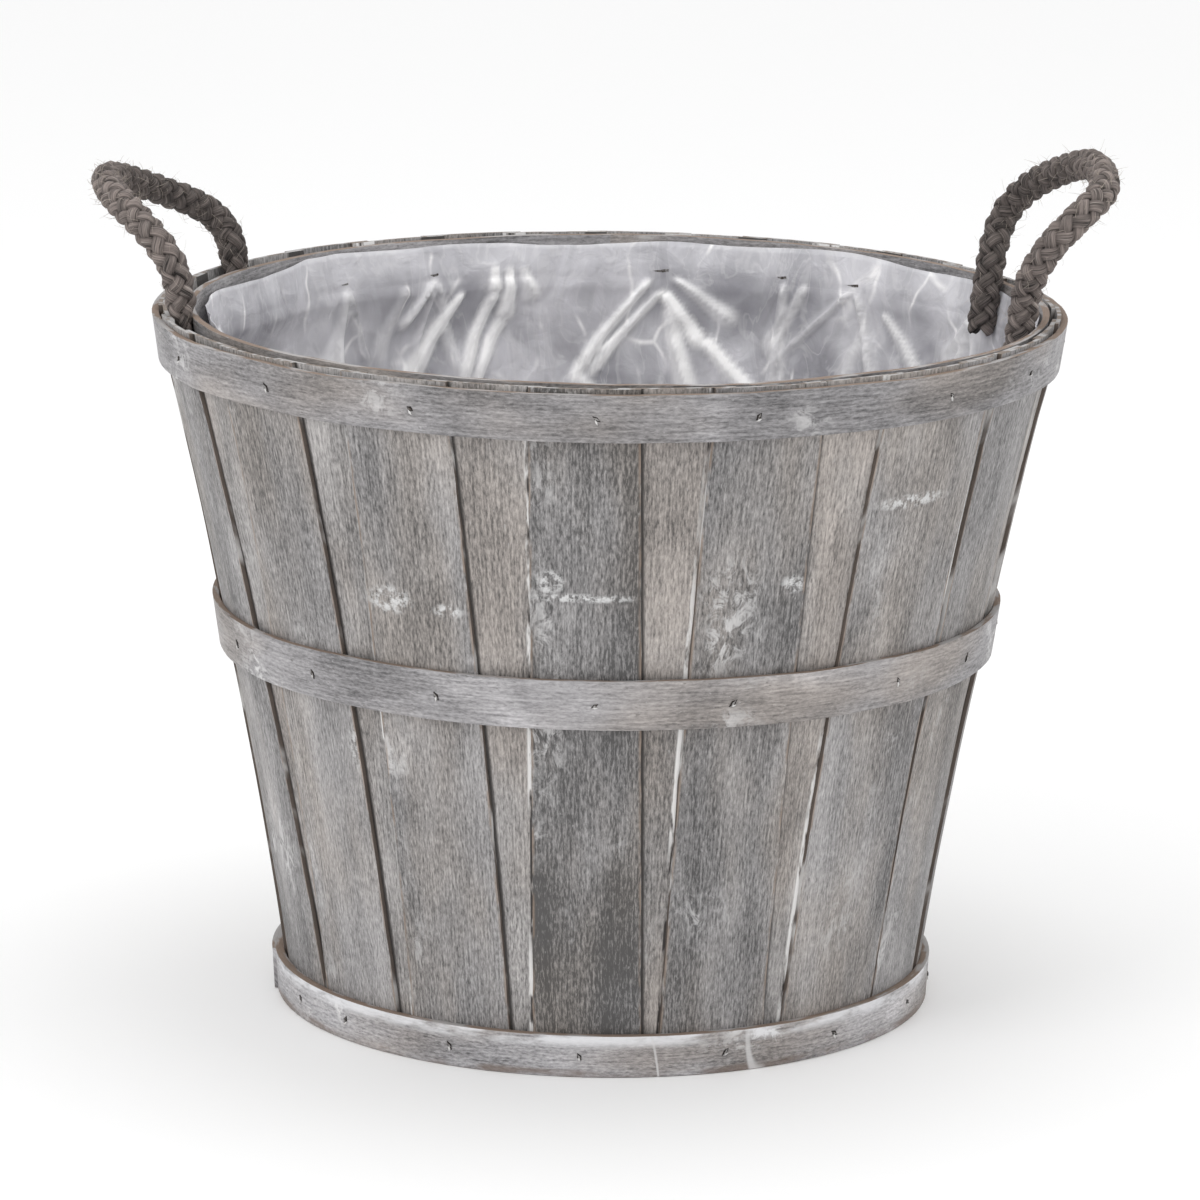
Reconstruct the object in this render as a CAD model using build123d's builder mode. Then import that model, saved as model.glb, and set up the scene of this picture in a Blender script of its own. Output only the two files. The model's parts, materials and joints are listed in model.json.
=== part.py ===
from build123d import *
import math
import os

# Planter basket: a round, tapered basket of thin wooden staves in two layers, held by
# wooden hoops, with a loose plastic liner and two rope handles. Millimetres, +Z up, the
# origin at the centre of the foot on the ground. The front faces -Y and the handles
# stand at the left (-X) and the right (+X). Angles go round from the front, in degrees,
# and are positive to the right.

# Wall: the outer face of the outer staves, seen from the side
wall_foot_radius = 118.7
wall_neck_radius = 164.9  # at the lower edge of the rim hoop
wall_sag = 2.6  # how far the wall bows inwards between foot and neck
rim_slope = 0.1416  # outward per height, above the neck, where the rim hoop holds it
rim_height = 262.0
stave_foot = 0.8  # the staves stop this far above the ground

# Staves
stave_count = 16
stave_thickness = 1.5
stave_rim_gap = 24.3  # between neighbours of one layer, as is the gap at the foot
stave_foot_gap = 7.6
first_stave_angle = -3.0
layer_clearance = 0.05
stave_trim = 2.0  # degrees of wall cut away at each side to give it a straight edge

# What makes single outer staves differ, by their place in the row: the turn of the
# middle at the rim and at the foot in degrees, and the added width at the rim and foot
uneven_staves = {
    0: (0.0, 0.5, -2.3, 0.0),
    1: (0.3, 0.0, 0.0, 0.8),
    2: (3.5, 2.0, 14.0, 6.7),
    3: (0.0, 0.4, 3.0, -0.4),
    6: (0.8, 0.4, 1.5, 0.5),
    8: (-1.0, -0.3, 0.0, 0.6),
    11: (0.9, 0.2, -1.0, 0.0),
    13: (-1.5, 3.4, 0.0, 0.0),
    14: (-1.2, 0.4, 0.5, 0.5),
    15: (-1.6, 0.2, 0.5, 0.2),
}

# Hoops: bent strips whose ends lap over each other
rim_hoop_below_rim = 1.6
rim_hoop_height = 17.3
rim_hoop_thickness = 2.6
middle_hoop_top = 153.2
middle_hoop_height = 18.4
middle_hoop_thickness = 2.4
middle_hoop_stand_off = 1.0  # how far its lower edge stands off the staves
foot_hoop_height = 15.6
foot_hoop_thickness = 3.2
foot_hoop_stand_off = 1.4
hoop_clearance = 0.1
lap_length = 42.0
lap_thickness = 1.2
rim_hoop_lap_angle = 168.0
middle_hoop_lap_angle = -149.5
foot_hoop_lap_angle = -94.0

# Inner hoop: stands off the staves, further at the left where ropes pass outside it
inner_hoop_height = 20.0
inner_hoop_thickness = 2.6
inner_hoop_gap = 4.4  # at the rim, at the front and the back
inner_hoop_shift = 3.2  # its centre lies this far to the right
inner_hoop_lap_angle = 24.0

# Base
base_thickness = 6.0
base_above_ground = 4.5
base_clearance = 0.2

# Liner
liner_thickness = 0.4
liner_clearance = 0.4
liner_edge_below_rim = 10.5
liner_shoulder = 9.0  # height over which it draws in below the inner hoop

# Rope: where its ends enter the rim, in degrees round from the front
left_front_angle = -78.5
left_back_angle = -116.5
right_front_angle = 80.0
right_back_angle = 111.0
rope_diameter = 12.0
rope_end_length = 18.0
rope_end_thickness = 6.9  # squeezed flat between the staves and the inner hoop
rope_end_width = 15.0
rope_clearance = 0.3
rope_arc_share = 0.45  # of the shorter run beside a corner, used up by the corner's arc

# The corners of each rope's run from its front foot to its back foot, chosen by eye, as
# steps to the right, back and up from the point midway between its feet
left_corners = [
    (-9, -54, 13),
    (-20, -48, 26),
    (-33, -28, 34),
    (-39, -1, 37),
    (-32, 24, 32),
    (-18, 42, 24),
    (-5, 54, 17),
    (3, 57, 9),
]
right_corners = [
    (6, -47, 12),
    (13, -53, 25),
    (24, -52, 36),
    (33, -39, 42),
    (34, -16, 46),
    (30, 8, 46),
    (20, 29, 39),
    (10, 46, 30),
    (1, 52, 18),
]

# Staples
staple_crown = 9.0
staple_wire = 1.1
staple_proud = 0.3
staple_sunk = 0.3
stave_nailing = 0.8  # how far the upper hoops' staples reach into the outer staves
base_nailing = 4.0  # how far the foot's staples reach into the base board
liner_staple_below_edge = 3.2
liner_staple_slant = 8.0
liner_staple_angles = [-152, -136, -100, -62, -34, -6, 24, 52, 74, 117, 143, 155, 173]

# The turn of each hoop staple from the middle of its stave, and its slant, in degrees
upper_staple_turns = [(1.0, 52.0), (-1.5, 35.0), (2.0, 48.0), (-0.5, 60.0), (1.5, 30.0)]
foot_staple_turns = [(-1.2, 20.0), (1.8, -15.0), (-0.4, 12.0), (2.2, 24.0), (-2.0, -8.0)]

# Sizes that follow from those above
pitch = 360 / stave_count
rim_hoop_top = rim_height - rim_hoop_below_rim
neck_height = rim_hoop_top - rim_hoop_height
rope_radius = rope_diameter / 2


def wall_radius(height):
    """The wall's outer radius at a height: an arc up to the neck, then straight on."""
    rise = wall_neck_radius - wall_foot_radius
    chord = math.hypot(neck_height, rise)
    arc = (chord**2 / 4 + wall_sag**2) / (2 * wall_sag)
    centre_radius = wall_foot_radius + rise / 2 + (arc - wall_sag) * neck_height / chord
    centre_height = neck_height / 2 - (arc - wall_sag) * rise / chord
    if height <= neck_height:
        return centre_radius - math.sqrt(arc**2 - (height - centre_height) ** 2)
    return wall_neck_radius + rim_slope * (height - neck_height)


def outward(angle):
    """The level direction away from the middle at an angle round from the front."""
    turn = math.radians(angle)
    return Vector(math.sin(turn), -math.cos(turn), 0)


def sideways(angle):
    """The level direction round the basket at an angle, to the right at the front."""
    turn = math.radians(angle)
    return Vector(math.cos(turn), math.sin(turn), 0)


def section_plane(angle, centre_x=0.0):
    """A plane through the upright axis: its x is the radius and its y is the height."""
    return Plane(origin=(centre_x, 0, 0), x_dir=outward(angle), z_dir=-sideways(angle))


def facing_plane(angle, radius=0.0, height=0.0):
    """A plane across the radius: its x runs round the basket and its y is up."""
    place = outward(angle) * radius + Vector(0, 0, height)
    return Plane(origin=place, x_dir=sideways(angle), z_dir=outward(angle))


rim_radius = wall_radius(rim_height)
stave_rim_width = 2 * math.pi * rim_radius / stave_count - stave_rim_gap
stave_foot_width = 2 * math.pi * wall_foot_radius / stave_count - stave_foot_gap
inner_stave_offset = stave_thickness + layer_clearance
wall_inner_offset = inner_stave_offset + stave_thickness


def half_angle(width, radius):
    """Half of the angle that a width takes up on a radius, in degrees."""
    return math.degrees(math.asin(width / 2 / radius))


def make_stave(label, offset, rim_angle, foot_angle, rim_width, foot_width):
    """One stave: a strip of the round wall, cut to straight edges."""
    middle = (rim_angle + foot_angle) / 2
    widest = max(half_angle(foot_width, wall_foot_radius), half_angle(rim_width, rim_radius))
    sweep_half = widest + abs(rim_angle - foot_angle) + stave_trim
    foot_side = wall_foot_radius * math.tan(math.radians(foot_angle - middle))
    rim_side = rim_radius * math.tan(math.radians(rim_angle - middle))
    back = offset + stave_thickness
    bow = (stave_foot + neck_height) / 2
    with BuildPart() as stave:
        with BuildSketch(section_plane(middle - sweep_half)):
            with BuildLine():
                ThreePointArc(
                    (wall_radius(stave_foot) - offset, stave_foot),
                    (wall_radius(bow) - offset, bow),
                    (wall_neck_radius - offset, neck_height),
                )
                Polyline(
                    (wall_neck_radius - offset, neck_height),
                    (rim_radius - offset, rim_height),
                    (rim_radius - back, rim_height),
                    (wall_neck_radius - back, neck_height),
                )
                ThreePointArc(
                    (wall_neck_radius - back, neck_height),
                    (wall_radius(bow) - back, bow),
                    (wall_radius(stave_foot) - back, stave_foot),
                )
                Line(
                    (wall_radius(stave_foot) - back, stave_foot),
                    (wall_radius(stave_foot) - offset, stave_foot),
                )
            make_face()
        revolve(axis=Axis.Z, revolution_arc=2 * sweep_half)
        with BuildSketch(facing_plane(middle)):
            with BuildLine():
                Polyline(
                    (foot_side - foot_width / 2, 0),
                    (foot_side + foot_width / 2, 0),
                    (rim_side + rim_width / 2, rim_height),
                    (rim_side - rim_width / 2, rim_height),
                    close=True,
                )
            make_face()
        extrude(amount=rim_radius + stave_thickness, mode=Mode.INTERSECT)
    stave.part.label = label
    return stave.part


def make_hoop(label, corners, lap_angle, centre_x=0.0):
    """A hoop: its section, given inside edge first, turned round, and its lapped end."""
    low_in, low_out, high_out, high_in = corners
    lap_half = half_angle(lap_length, high_out[0])
    with BuildPart() as hoop:
        with BuildSketch(section_plane(0, centre_x)):
            with BuildLine():
                Polyline(low_in, low_out, high_out, high_in, close=True)
            make_face()
        revolve(axis=Axis((centre_x, 0, 0), (0, 0, 1)))
        with BuildSketch(section_plane(lap_angle - lap_half, centre_x)):
            with BuildLine():
                Polyline(
                    low_in,
                    (low_out[0] + lap_thickness, low_out[1]),
                    (high_out[0] + lap_thickness, high_out[1]),
                    high_in,
                    close=True,
                )
            make_face()
        revolve(axis=Axis((centre_x, 0, 0), (0, 0, 1)), revolution_arc=2 * lap_half)
    hoop.part.label = label
    return hoop.part


def outer_hoop_corners(top, height, thickness, stand_off):
    """The section of a hoop round the wall: it touches the staves at its upper edge."""
    bottom = top - height
    high = wall_radius(top) + hoop_clearance
    low = wall_radius(bottom) + hoop_clearance + stand_off
    return [(low, bottom), (low + thickness, bottom), (high + thickness, top), (high, top)]


def outer_stave_shape(place):
    """Where an outer stave stands: its middle and width at the rim and at the foot."""
    rim_turn, foot_turn, rim_extra, foot_extra = uneven_staves.get(place, (0, 0, 0, 0))
    angle = first_stave_angle + place * pitch
    return (
        angle + rim_turn,
        angle + foot_turn,
        stave_rim_width + rim_extra,
        stave_foot_width + foot_extra,
    )


def gap_middle(left, right, end, radius):
    """The middle of the gap between two outer staves at the rim (0) or the foot (1)."""
    left_edge = left[end] + half_angle(left[end + 2], radius)
    right_edge = right[end] - half_angle(right[end + 2], radius)
    return (left_edge + right_edge) / 2


outer_staves = [outer_stave_shape(place) for place in range(stave_count)]
parts = []

for place, shape in enumerate(outer_staves):
    parts.append(make_stave(f"outer_stave_{place + 1:02d}", 0.0, *shape))

for place, left in enumerate(outer_staves):
    right = list(outer_staves[(place + 1) % stave_count])
    if place + 1 == stave_count:
        right[0] += 360
        right[1] += 360
    parts.append(
        make_stave(
            f"inner_stave_{place + 1:02d}",
            inner_stave_offset,
            gap_middle(left, right, 0, rim_radius),
            gap_middle(left, right, 1, wall_foot_radius),
            stave_rim_width,
            stave_foot_width,
        )
    )

# Hoops round the outside
rim_hoop = outer_hoop_corners(rim_hoop_top, rim_hoop_height, rim_hoop_thickness, 0.0)
middle_hoop = outer_hoop_corners(
    middle_hoop_top, middle_hoop_height, middle_hoop_thickness, middle_hoop_stand_off
)
foot_hoop = outer_hoop_corners(
    foot_hoop_height, foot_hoop_height, foot_hoop_thickness, foot_hoop_stand_off
)
parts.append(make_hoop("rim_outer_hoop", rim_hoop, rim_hoop_lap_angle))
parts.append(make_hoop("middle_hoop", middle_hoop, middle_hoop_lap_angle))
parts.append(make_hoop("foot_hoop", foot_hoop, foot_hoop_lap_angle))

# Inner rim hoop, parallel to the wall
inner_hoop_low = rim_height - inner_hoop_height
inner_high = rim_radius - wall_inner_offset - inner_hoop_gap
inner_low = inner_high - rim_slope * inner_hoop_height
inner_hoop = [
    (inner_low - inner_hoop_thickness, inner_hoop_low),
    (inner_low, inner_hoop_low),
    (inner_high, rim_height),
    (inner_high - inner_hoop_thickness, rim_height),
]
parts.append(make_hoop("rim_inner_hoop", inner_hoop, inner_hoop_lap_angle, inner_hoop_shift))

# Base: a thin board whose edge is cut to the slope of the staves
base_top = base_above_ground + base_thickness
base_inset = wall_inner_offset + base_clearance
with BuildPart() as base_board:
    with BuildSketch(section_plane(0)):
        with BuildLine():
            Polyline(
                (0, base_above_ground),
                (wall_radius(base_above_ground) - base_inset, base_above_ground),
                (wall_radius(base_top) - base_inset, base_top),
                (0, base_top),
                close=True,
            )
        make_face()
    revolve(axis=Axis.Z)
base_board.part.label = "base_board"
parts.append(base_board.part)


# Rope handles: each turns about the line through its two feet, just above the rim
hinge_height = rim_height + rope_clearance + rope_radius


def inner_hoop_reach(angle, radius):
    """How far from the middle of the basket the off-centre inner hoop lies."""
    across = inner_hoop_shift * math.cos(math.radians(angle))
    along = inner_hoop_shift * math.sin(math.radians(angle))
    return along + math.sqrt(radius**2 - across**2)


def left_foot_radius(angle):
    """Midway between the staves and the outside of the inner hoop."""
    return (rim_radius - wall_inner_offset + inner_hoop_reach(angle, inner_high)) / 2


def right_foot_radius(angle):
    """Against the inside of the inner hoop."""
    inside = inner_hoop_reach(angle, inner_high - inner_hoop_thickness)
    return inside - rope_radius - rope_clearance


def foot_point(angle, radius, height=hinge_height):
    """A foot of a handle, on its hinge line."""
    return outward(angle) * radius + Vector(0, 0, height)


left_front_foot = foot_point(left_front_angle, left_foot_radius(left_front_angle))
left_back_foot = foot_point(left_back_angle, left_foot_radius(left_back_angle))
right_front_foot = foot_point(right_front_angle, right_foot_radius(right_front_angle))
right_back_foot = foot_point(right_back_angle, right_foot_radius(right_back_angle))

def make_route(front_foot, back_foot, corners):
    """The points of a rope's run, both feet included."""
    between_feet = (front_foot + back_foot) / 2
    return [front_foot, *(between_feet + Vector(*corner) for corner in corners), back_foot]


def corner_radii(route):
    """The largest arc that each corner's two runs allow."""
    radii = []
    for before, corner, after in zip(route, route[1:], route[2:]):
        turn = math.radians((corner - before).get_angle(after - corner))
        run = min((corner - before).length, (after - corner).length)
        radii.append(rope_arc_share * run / math.tan(turn / 2))
    return radii


def make_handle(label, route):
    """A rope handle: one round tube from foot to foot, with a ball at each hinge."""
    radii = corner_radii(route)
    with BuildPart() as handle:
        with BuildLine():
            run = FilletPolyline(*route, radius=radii)
        with BuildSketch(Plane(origin=run @ 0, z_dir=run % 0)):
            Circle(rope_radius)
        sweep()
        with Locations(route[0], route[-1]):
            Sphere(rope_radius)
    handle.part.label = label
    print(label, "length", round(run.length, 1), "arcs", [round(r) for r in radii])
    return handle.part


left_route = make_route(left_front_foot, left_back_foot, left_corners)
right_route = make_route(right_front_foot, right_back_foot, right_corners)
parts.append(make_handle("rope_handle_left", left_route))
parts.append(make_handle("rope_handle_right", right_route))


def rim_lean_plane(angle, radius):
    """A plane square to the leaning wall at the rim, with its x round the basket."""
    down = Vector(0, 0, -1) - outward(angle) * rim_slope
    place = foot_point(angle, radius, rim_height)
    return Plane(origin=place, x_dir=sideways(angle), z_dir=down.normalized())


def make_flat_end(label, angle):
    """A rope end squeezed flat between the staves and the inner hoop."""
    with BuildPart() as rope_end:
        with BuildSketch(rim_lean_plane(angle, left_foot_radius(angle))):
            Ellipse(rope_end_width / 2, rope_end_thickness / 2)
        extrude(amount=rope_end_length)
        split(bisect_by=Plane.XY.offset(rim_height), keep=Keep.BOTTOM)
    rope_end.part.label = label
    return rope_end.part


def make_round_end(label, angle):
    """A rope end that lies round against the inside of the inner hoop."""
    with BuildPart() as rope_end:
        with BuildSketch(rim_lean_plane(angle, right_foot_radius(angle))):
            Circle(rope_radius)
        extrude(amount=rope_end_length)
        split(bisect_by=Plane.XY.offset(rim_height), keep=Keep.BOTTOM)
    rope_end.part.label = label
    return rope_end.part


parts.append(make_flat_end("rope_end_left_front", left_front_angle))
parts.append(make_flat_end("rope_end_left_back", left_back_angle))
parts.append(make_round_end("rope_end_right_front", right_front_angle))
parts.append(make_round_end("rope_end_right_back", right_back_angle))


# Liner: a thin bag on the base, drawn in under the inner hoop, with its edge inside it
liner_edge = rim_height - liner_edge_below_rim
liner_neck_radius = inner_low - inner_hoop_thickness - liner_clearance
liner_wall_inset = wall_inner_offset + liner_clearance
shoulder_top = inner_hoop_low - liner_clearance
shoulder_low = shoulder_top - liner_shoulder


def liner_space(shrink, low, high):
    """The space within the liner's outer face, made smaller all round by a distance."""
    inset = liner_wall_inset + shrink
    bow = (low + shoulder_low) / 2
    shoulder_radius = liner_neck_radius - inner_hoop_shift - shrink
    with BuildPart() as space:
        with BuildSketch(section_plane(0)):
            with BuildLine():
                ThreePointArc(
                    (wall_radius(low) - inset, low),
                    (wall_radius(bow) - inset, bow),
                    (wall_radius(shoulder_low) - inset, shoulder_low),
                )
                Polyline(
                    (wall_radius(shoulder_low) - inset, shoulder_low),
                    (shoulder_radius, shoulder_top - shrink),
                    (0, shoulder_top - shrink),
                    (0, low),
                    (wall_radius(low) - inset, low),
                )
            make_face()
        revolve(axis=Axis.Z)
        neck_bottom = shoulder_low + liner_shoulder / 2
        with BuildSketch(Plane.XY.offset(neck_bottom)):
            with Locations((inner_hoop_shift, 0)):
                Circle(liner_neck_radius - shrink)
        extrude(amount=high - neck_bottom)
        pocket_margin = rope_clearance + shrink
        for angle in (right_front_angle, right_back_angle):
            rope_plane = rim_lean_plane(angle, right_foot_radius(angle))
            with BuildSketch(rope_plane.offset(-rope_radius)):
                Circle(rope_radius + pocket_margin)
            extrude(amount=rope_radius + rope_end_length + pocket_margin, mode=Mode.SUBTRACT)
    return space.part


liner_bottom = base_top + liner_clearance
with BuildPart() as liner:
    add(liner_space(0.0, liner_bottom, liner_edge))
    add(liner_space(liner_thickness, liner_bottom + liner_thickness, rim_height), mode=Mode.SUBTRACT)
liner.part.label = "plastic_liner"
parts.append(liner.part)


def make_staples(label, places):
    """Wire staples, each driven into a plane: its crown slants across the wood's face."""
    reach = (staple_crown - staple_wire) / 2
    with BuildPart() as staples:
        for plane, slant, leg_length in places:
            with BuildSketch(plane.offset(-staple_sunk)):
                Rectangle(staple_crown, staple_wire, rotation=slant)
            extrude(amount=staple_sunk + staple_proud)
            turn = math.radians(slant)
            side = (reach * math.cos(turn), reach * math.sin(turn))
            with BuildSketch(plane):
                with Locations(side, (-side[0], -side[1])):
                    Rectangle(staple_wire, staple_wire, rotation=slant)
            extrude(amount=-leg_length)
    staples.part.label = label
    return staples.part


def make_hoop_staples(label, corners, lap_angle, turns, depth):
    """A staple on a hoop at each outer stave, driven in to a depth behind the wall's face."""
    low_out, high_out = corners[1], corners[2]
    height = (low_out[1] + high_out[1]) / 2
    places = []
    for place, shape in enumerate(outer_staves):
        turn, slant = turns[place % len(turns)]
        angle = shape[1] + turn
        radius = (low_out[0] + high_out[0]) / 2
        from_lap = abs((angle - lap_angle + 180) % 360 - 180)
        if from_lap < half_angle(lap_length, radius):
            radius += lap_thickness
        leg_length = radius - wall_radius(height) + depth
        places.append((facing_plane(angle, radius, height), slant, leg_length))
    return make_staples(label, places)


base_depth = base_inset + base_nailing
for label, hoop, lap_angle, turns, depth in (
    ("rim_hoop_staples", rim_hoop, rim_hoop_lap_angle, upper_staple_turns, stave_nailing),
    ("middle_hoop_staples", middle_hoop, middle_hoop_lap_angle, upper_staple_turns, stave_nailing),
    ("foot_hoop_staples", foot_hoop, foot_hoop_lap_angle, foot_staple_turns, base_depth),
):
    parts.append(make_hoop_staples(label, hoop, lap_angle, turns, depth))

# Liner staples, seen from inside: they hold the bag's edge to the inner hoop
liner_staple_height = liner_edge - liner_staple_below_edge
liner_inside = liner_neck_radius - liner_thickness
liner_staple_leg = liner_thickness + liner_clearance + inner_hoop_thickness
liner_staple_places = []
for angle in liner_staple_angles:
    reach = inner_hoop_reach(angle, liner_inside)
    inwards = Plane(
        origin=foot_point(angle, reach, liner_staple_height),
        x_dir=-sideways(angle),
        z_dir=-outward(angle),
    )
    liner_staple_places.append((inwards, liner_staple_slant, liner_staple_leg))
parts.append(make_staples("liner_staples", liner_staple_places))

os.makedirs("parts", exist_ok=True)
for part in parts:
    export_step(part, f"parts/{part.label}.step")
print(len(parts), "parts written")
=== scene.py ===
# %% [markdown]
# # A whitewashed planter basket
# A round basket of thin wooden staves in two layers, held by bent wooden hoops, with a
# clear film bag stapled inside and two braided rope handles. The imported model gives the
# place and size of every piece. This lesson gives each piece its worn shape and finish.

import json
import math

import bmesh
import bpy
import numpy as np
from mathutils import Euler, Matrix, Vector, noise


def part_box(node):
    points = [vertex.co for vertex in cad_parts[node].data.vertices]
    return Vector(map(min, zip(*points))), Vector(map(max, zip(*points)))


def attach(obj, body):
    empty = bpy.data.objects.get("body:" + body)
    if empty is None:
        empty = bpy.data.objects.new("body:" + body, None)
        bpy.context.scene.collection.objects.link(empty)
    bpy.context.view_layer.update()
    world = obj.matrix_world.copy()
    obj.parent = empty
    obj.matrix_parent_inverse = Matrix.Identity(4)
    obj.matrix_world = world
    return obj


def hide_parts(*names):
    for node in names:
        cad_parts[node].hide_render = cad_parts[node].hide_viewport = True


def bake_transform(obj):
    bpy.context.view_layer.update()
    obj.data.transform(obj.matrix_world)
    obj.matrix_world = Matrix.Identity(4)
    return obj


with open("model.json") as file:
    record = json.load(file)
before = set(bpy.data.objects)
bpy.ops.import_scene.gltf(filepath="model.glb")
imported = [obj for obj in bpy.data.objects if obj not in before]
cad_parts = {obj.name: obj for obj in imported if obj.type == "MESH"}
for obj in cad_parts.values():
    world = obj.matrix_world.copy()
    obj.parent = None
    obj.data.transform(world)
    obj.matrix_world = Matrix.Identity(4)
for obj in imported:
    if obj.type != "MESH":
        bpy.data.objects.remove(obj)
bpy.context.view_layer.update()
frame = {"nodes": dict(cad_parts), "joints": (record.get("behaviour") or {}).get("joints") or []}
nodes = frame["nodes"]
MM = 0.001
rng = np.random.default_rng(7)
stave_count = 16
outer_names = [f"outer_stave_{place + 1:02d}" for place in range(stave_count)]
inner_names = [f"inner_stave_{place + 1:02d}" for place in range(stave_count)]
rim_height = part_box("outer_stave_01")[1].z
print("frame loaded:", len(nodes), "nodes, rim at", round(rim_height / MM, 1), "mm")

# %% [markdown]
# ## Camera, light and floor
# The photograph was taken from well back with a long lens, a little above the rim. The
# lens, the height and the slight roll were worked out from the three round hoops, whose
# outlines are ellipses in the picture. The light is a soft white studio: a white world
# with one large lamp up at the left and one over the top.

# %% Camera, light and floor
camera_place = (-0.0024, -2.3051, 0.6721)
camera_tilt = 12.779
camera_roll = 0.672
lens_mm = 188.6


def add_object(name, data):
    """A new object in the scene."""
    made = bpy.data.objects.new(name, data)
    bpy.context.scene.collection.objects.link(made)
    return made


camera_data = bpy.data.cameras.new("camera")
camera_data.lens = lens_mm
camera_data.sensor_width = 36
camera = add_object("camera", camera_data)
camera.location = camera_place
look = Euler((math.radians(90 - camera_tilt), 0, 0)).to_matrix()
roll = Euler((0, 0, math.radians(camera_roll))).to_matrix()
camera.rotation_euler = (look @ roll).to_euler()
bpy.context.scene.camera = camera

world = bpy.data.worlds.new("studio")
bpy.context.scene.world = world
world.use_nodes = True
world.node_tree.nodes["Background"].inputs["Color"].default_value = (1, 1, 1, 1)
world.node_tree.nodes["Background"].inputs["Strength"].default_value = 1.0
bpy.context.scene.view_settings.view_transform = "Standard"


def add_lamp(name, place, aim, size, watts):
    """A square soft lamp at a place, turned to face a point."""
    lamp = bpy.data.lights.new(name, "AREA")
    lamp.size = size
    lamp.energy = watts
    holder = add_object(name, lamp)
    holder.location = place
    holder.rotation_euler = (Vector(aim) - Vector(place)).to_track_quat("-Z", "Y").to_euler()


add_lamp("lamp_left", (-1.3, -1.3, 1.5), (0, 0, 0.15), 1.0, 10)
add_lamp("lamp_top", (0.3, 0.2, 1.9), (0, 0, 0.1), 1.2, 6)


def deselect_all():
    """Leaves object mode with nothing selected."""
    if bpy.context.object and bpy.context.object.mode != "OBJECT":
        bpy.ops.object.mode_set(mode="OBJECT")
    bpy.ops.object.select_all(action="DESELECT")


deselect_all()
bpy.ops.mesh.primitive_plane_add(size=12, location=(0, 2, -0.0002))
floor = bpy.context.object
floor.name = "floor"
print("camera at", camera_place, "with a", lens_mm, "mm lens")

# %% [markdown]
# ## Writing shader maths as plain sums
# A finish is easier to read as a sum than as a web of nodes. A Wire wraps one socket, and
# its operators add the Math nodes. A Finish is one material being built: its node method
# adds any other node, with its settings first and then its inputs.


# %% Shader maths
def operator(operation, swapped=False):
    """An operator of a Wire, which adds one Math node."""

    def apply(wire, other):
        return wire.maths(operation, *((other, wire) if swapped else (wire, other)))

    return apply


class Wire:
    """One socket of a material, which can be added, multiplied and compared."""

    def __init__(self, finish, socket):
        self.finish = finish
        self.socket = socket

    def maths(self, operation, *values):
        inputs = dict(enumerate(values))
        return self.finish.node("Math", {"operation": operation}, inputs)

    __add__ = operator("ADD")
    __radd__ = operator("ADD", True)
    __sub__ = operator("SUBTRACT")
    __rsub__ = operator("SUBTRACT", True)
    __mul__ = operator("MULTIPLY")
    __truediv__ = operator("DIVIDE")
    at_most = operator("MINIMUM")
    at_least = operator("MAXIMUM")

    def size(self):
        return self.maths("ABSOLUTE", self)

    def step(self, low, high):
        """0 below low, 1 above high and a smooth rise between; high may be below low."""
        flip = high < low
        inputs = {"Value": self, 1: min(low, high), 2: max(low, high)}
        settings = {"interpolation_type": "SMOOTHSTEP"}
        rise = self.finish.node("MapRange", settings, inputs)
        return 1 - rise if flip else rise


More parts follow.
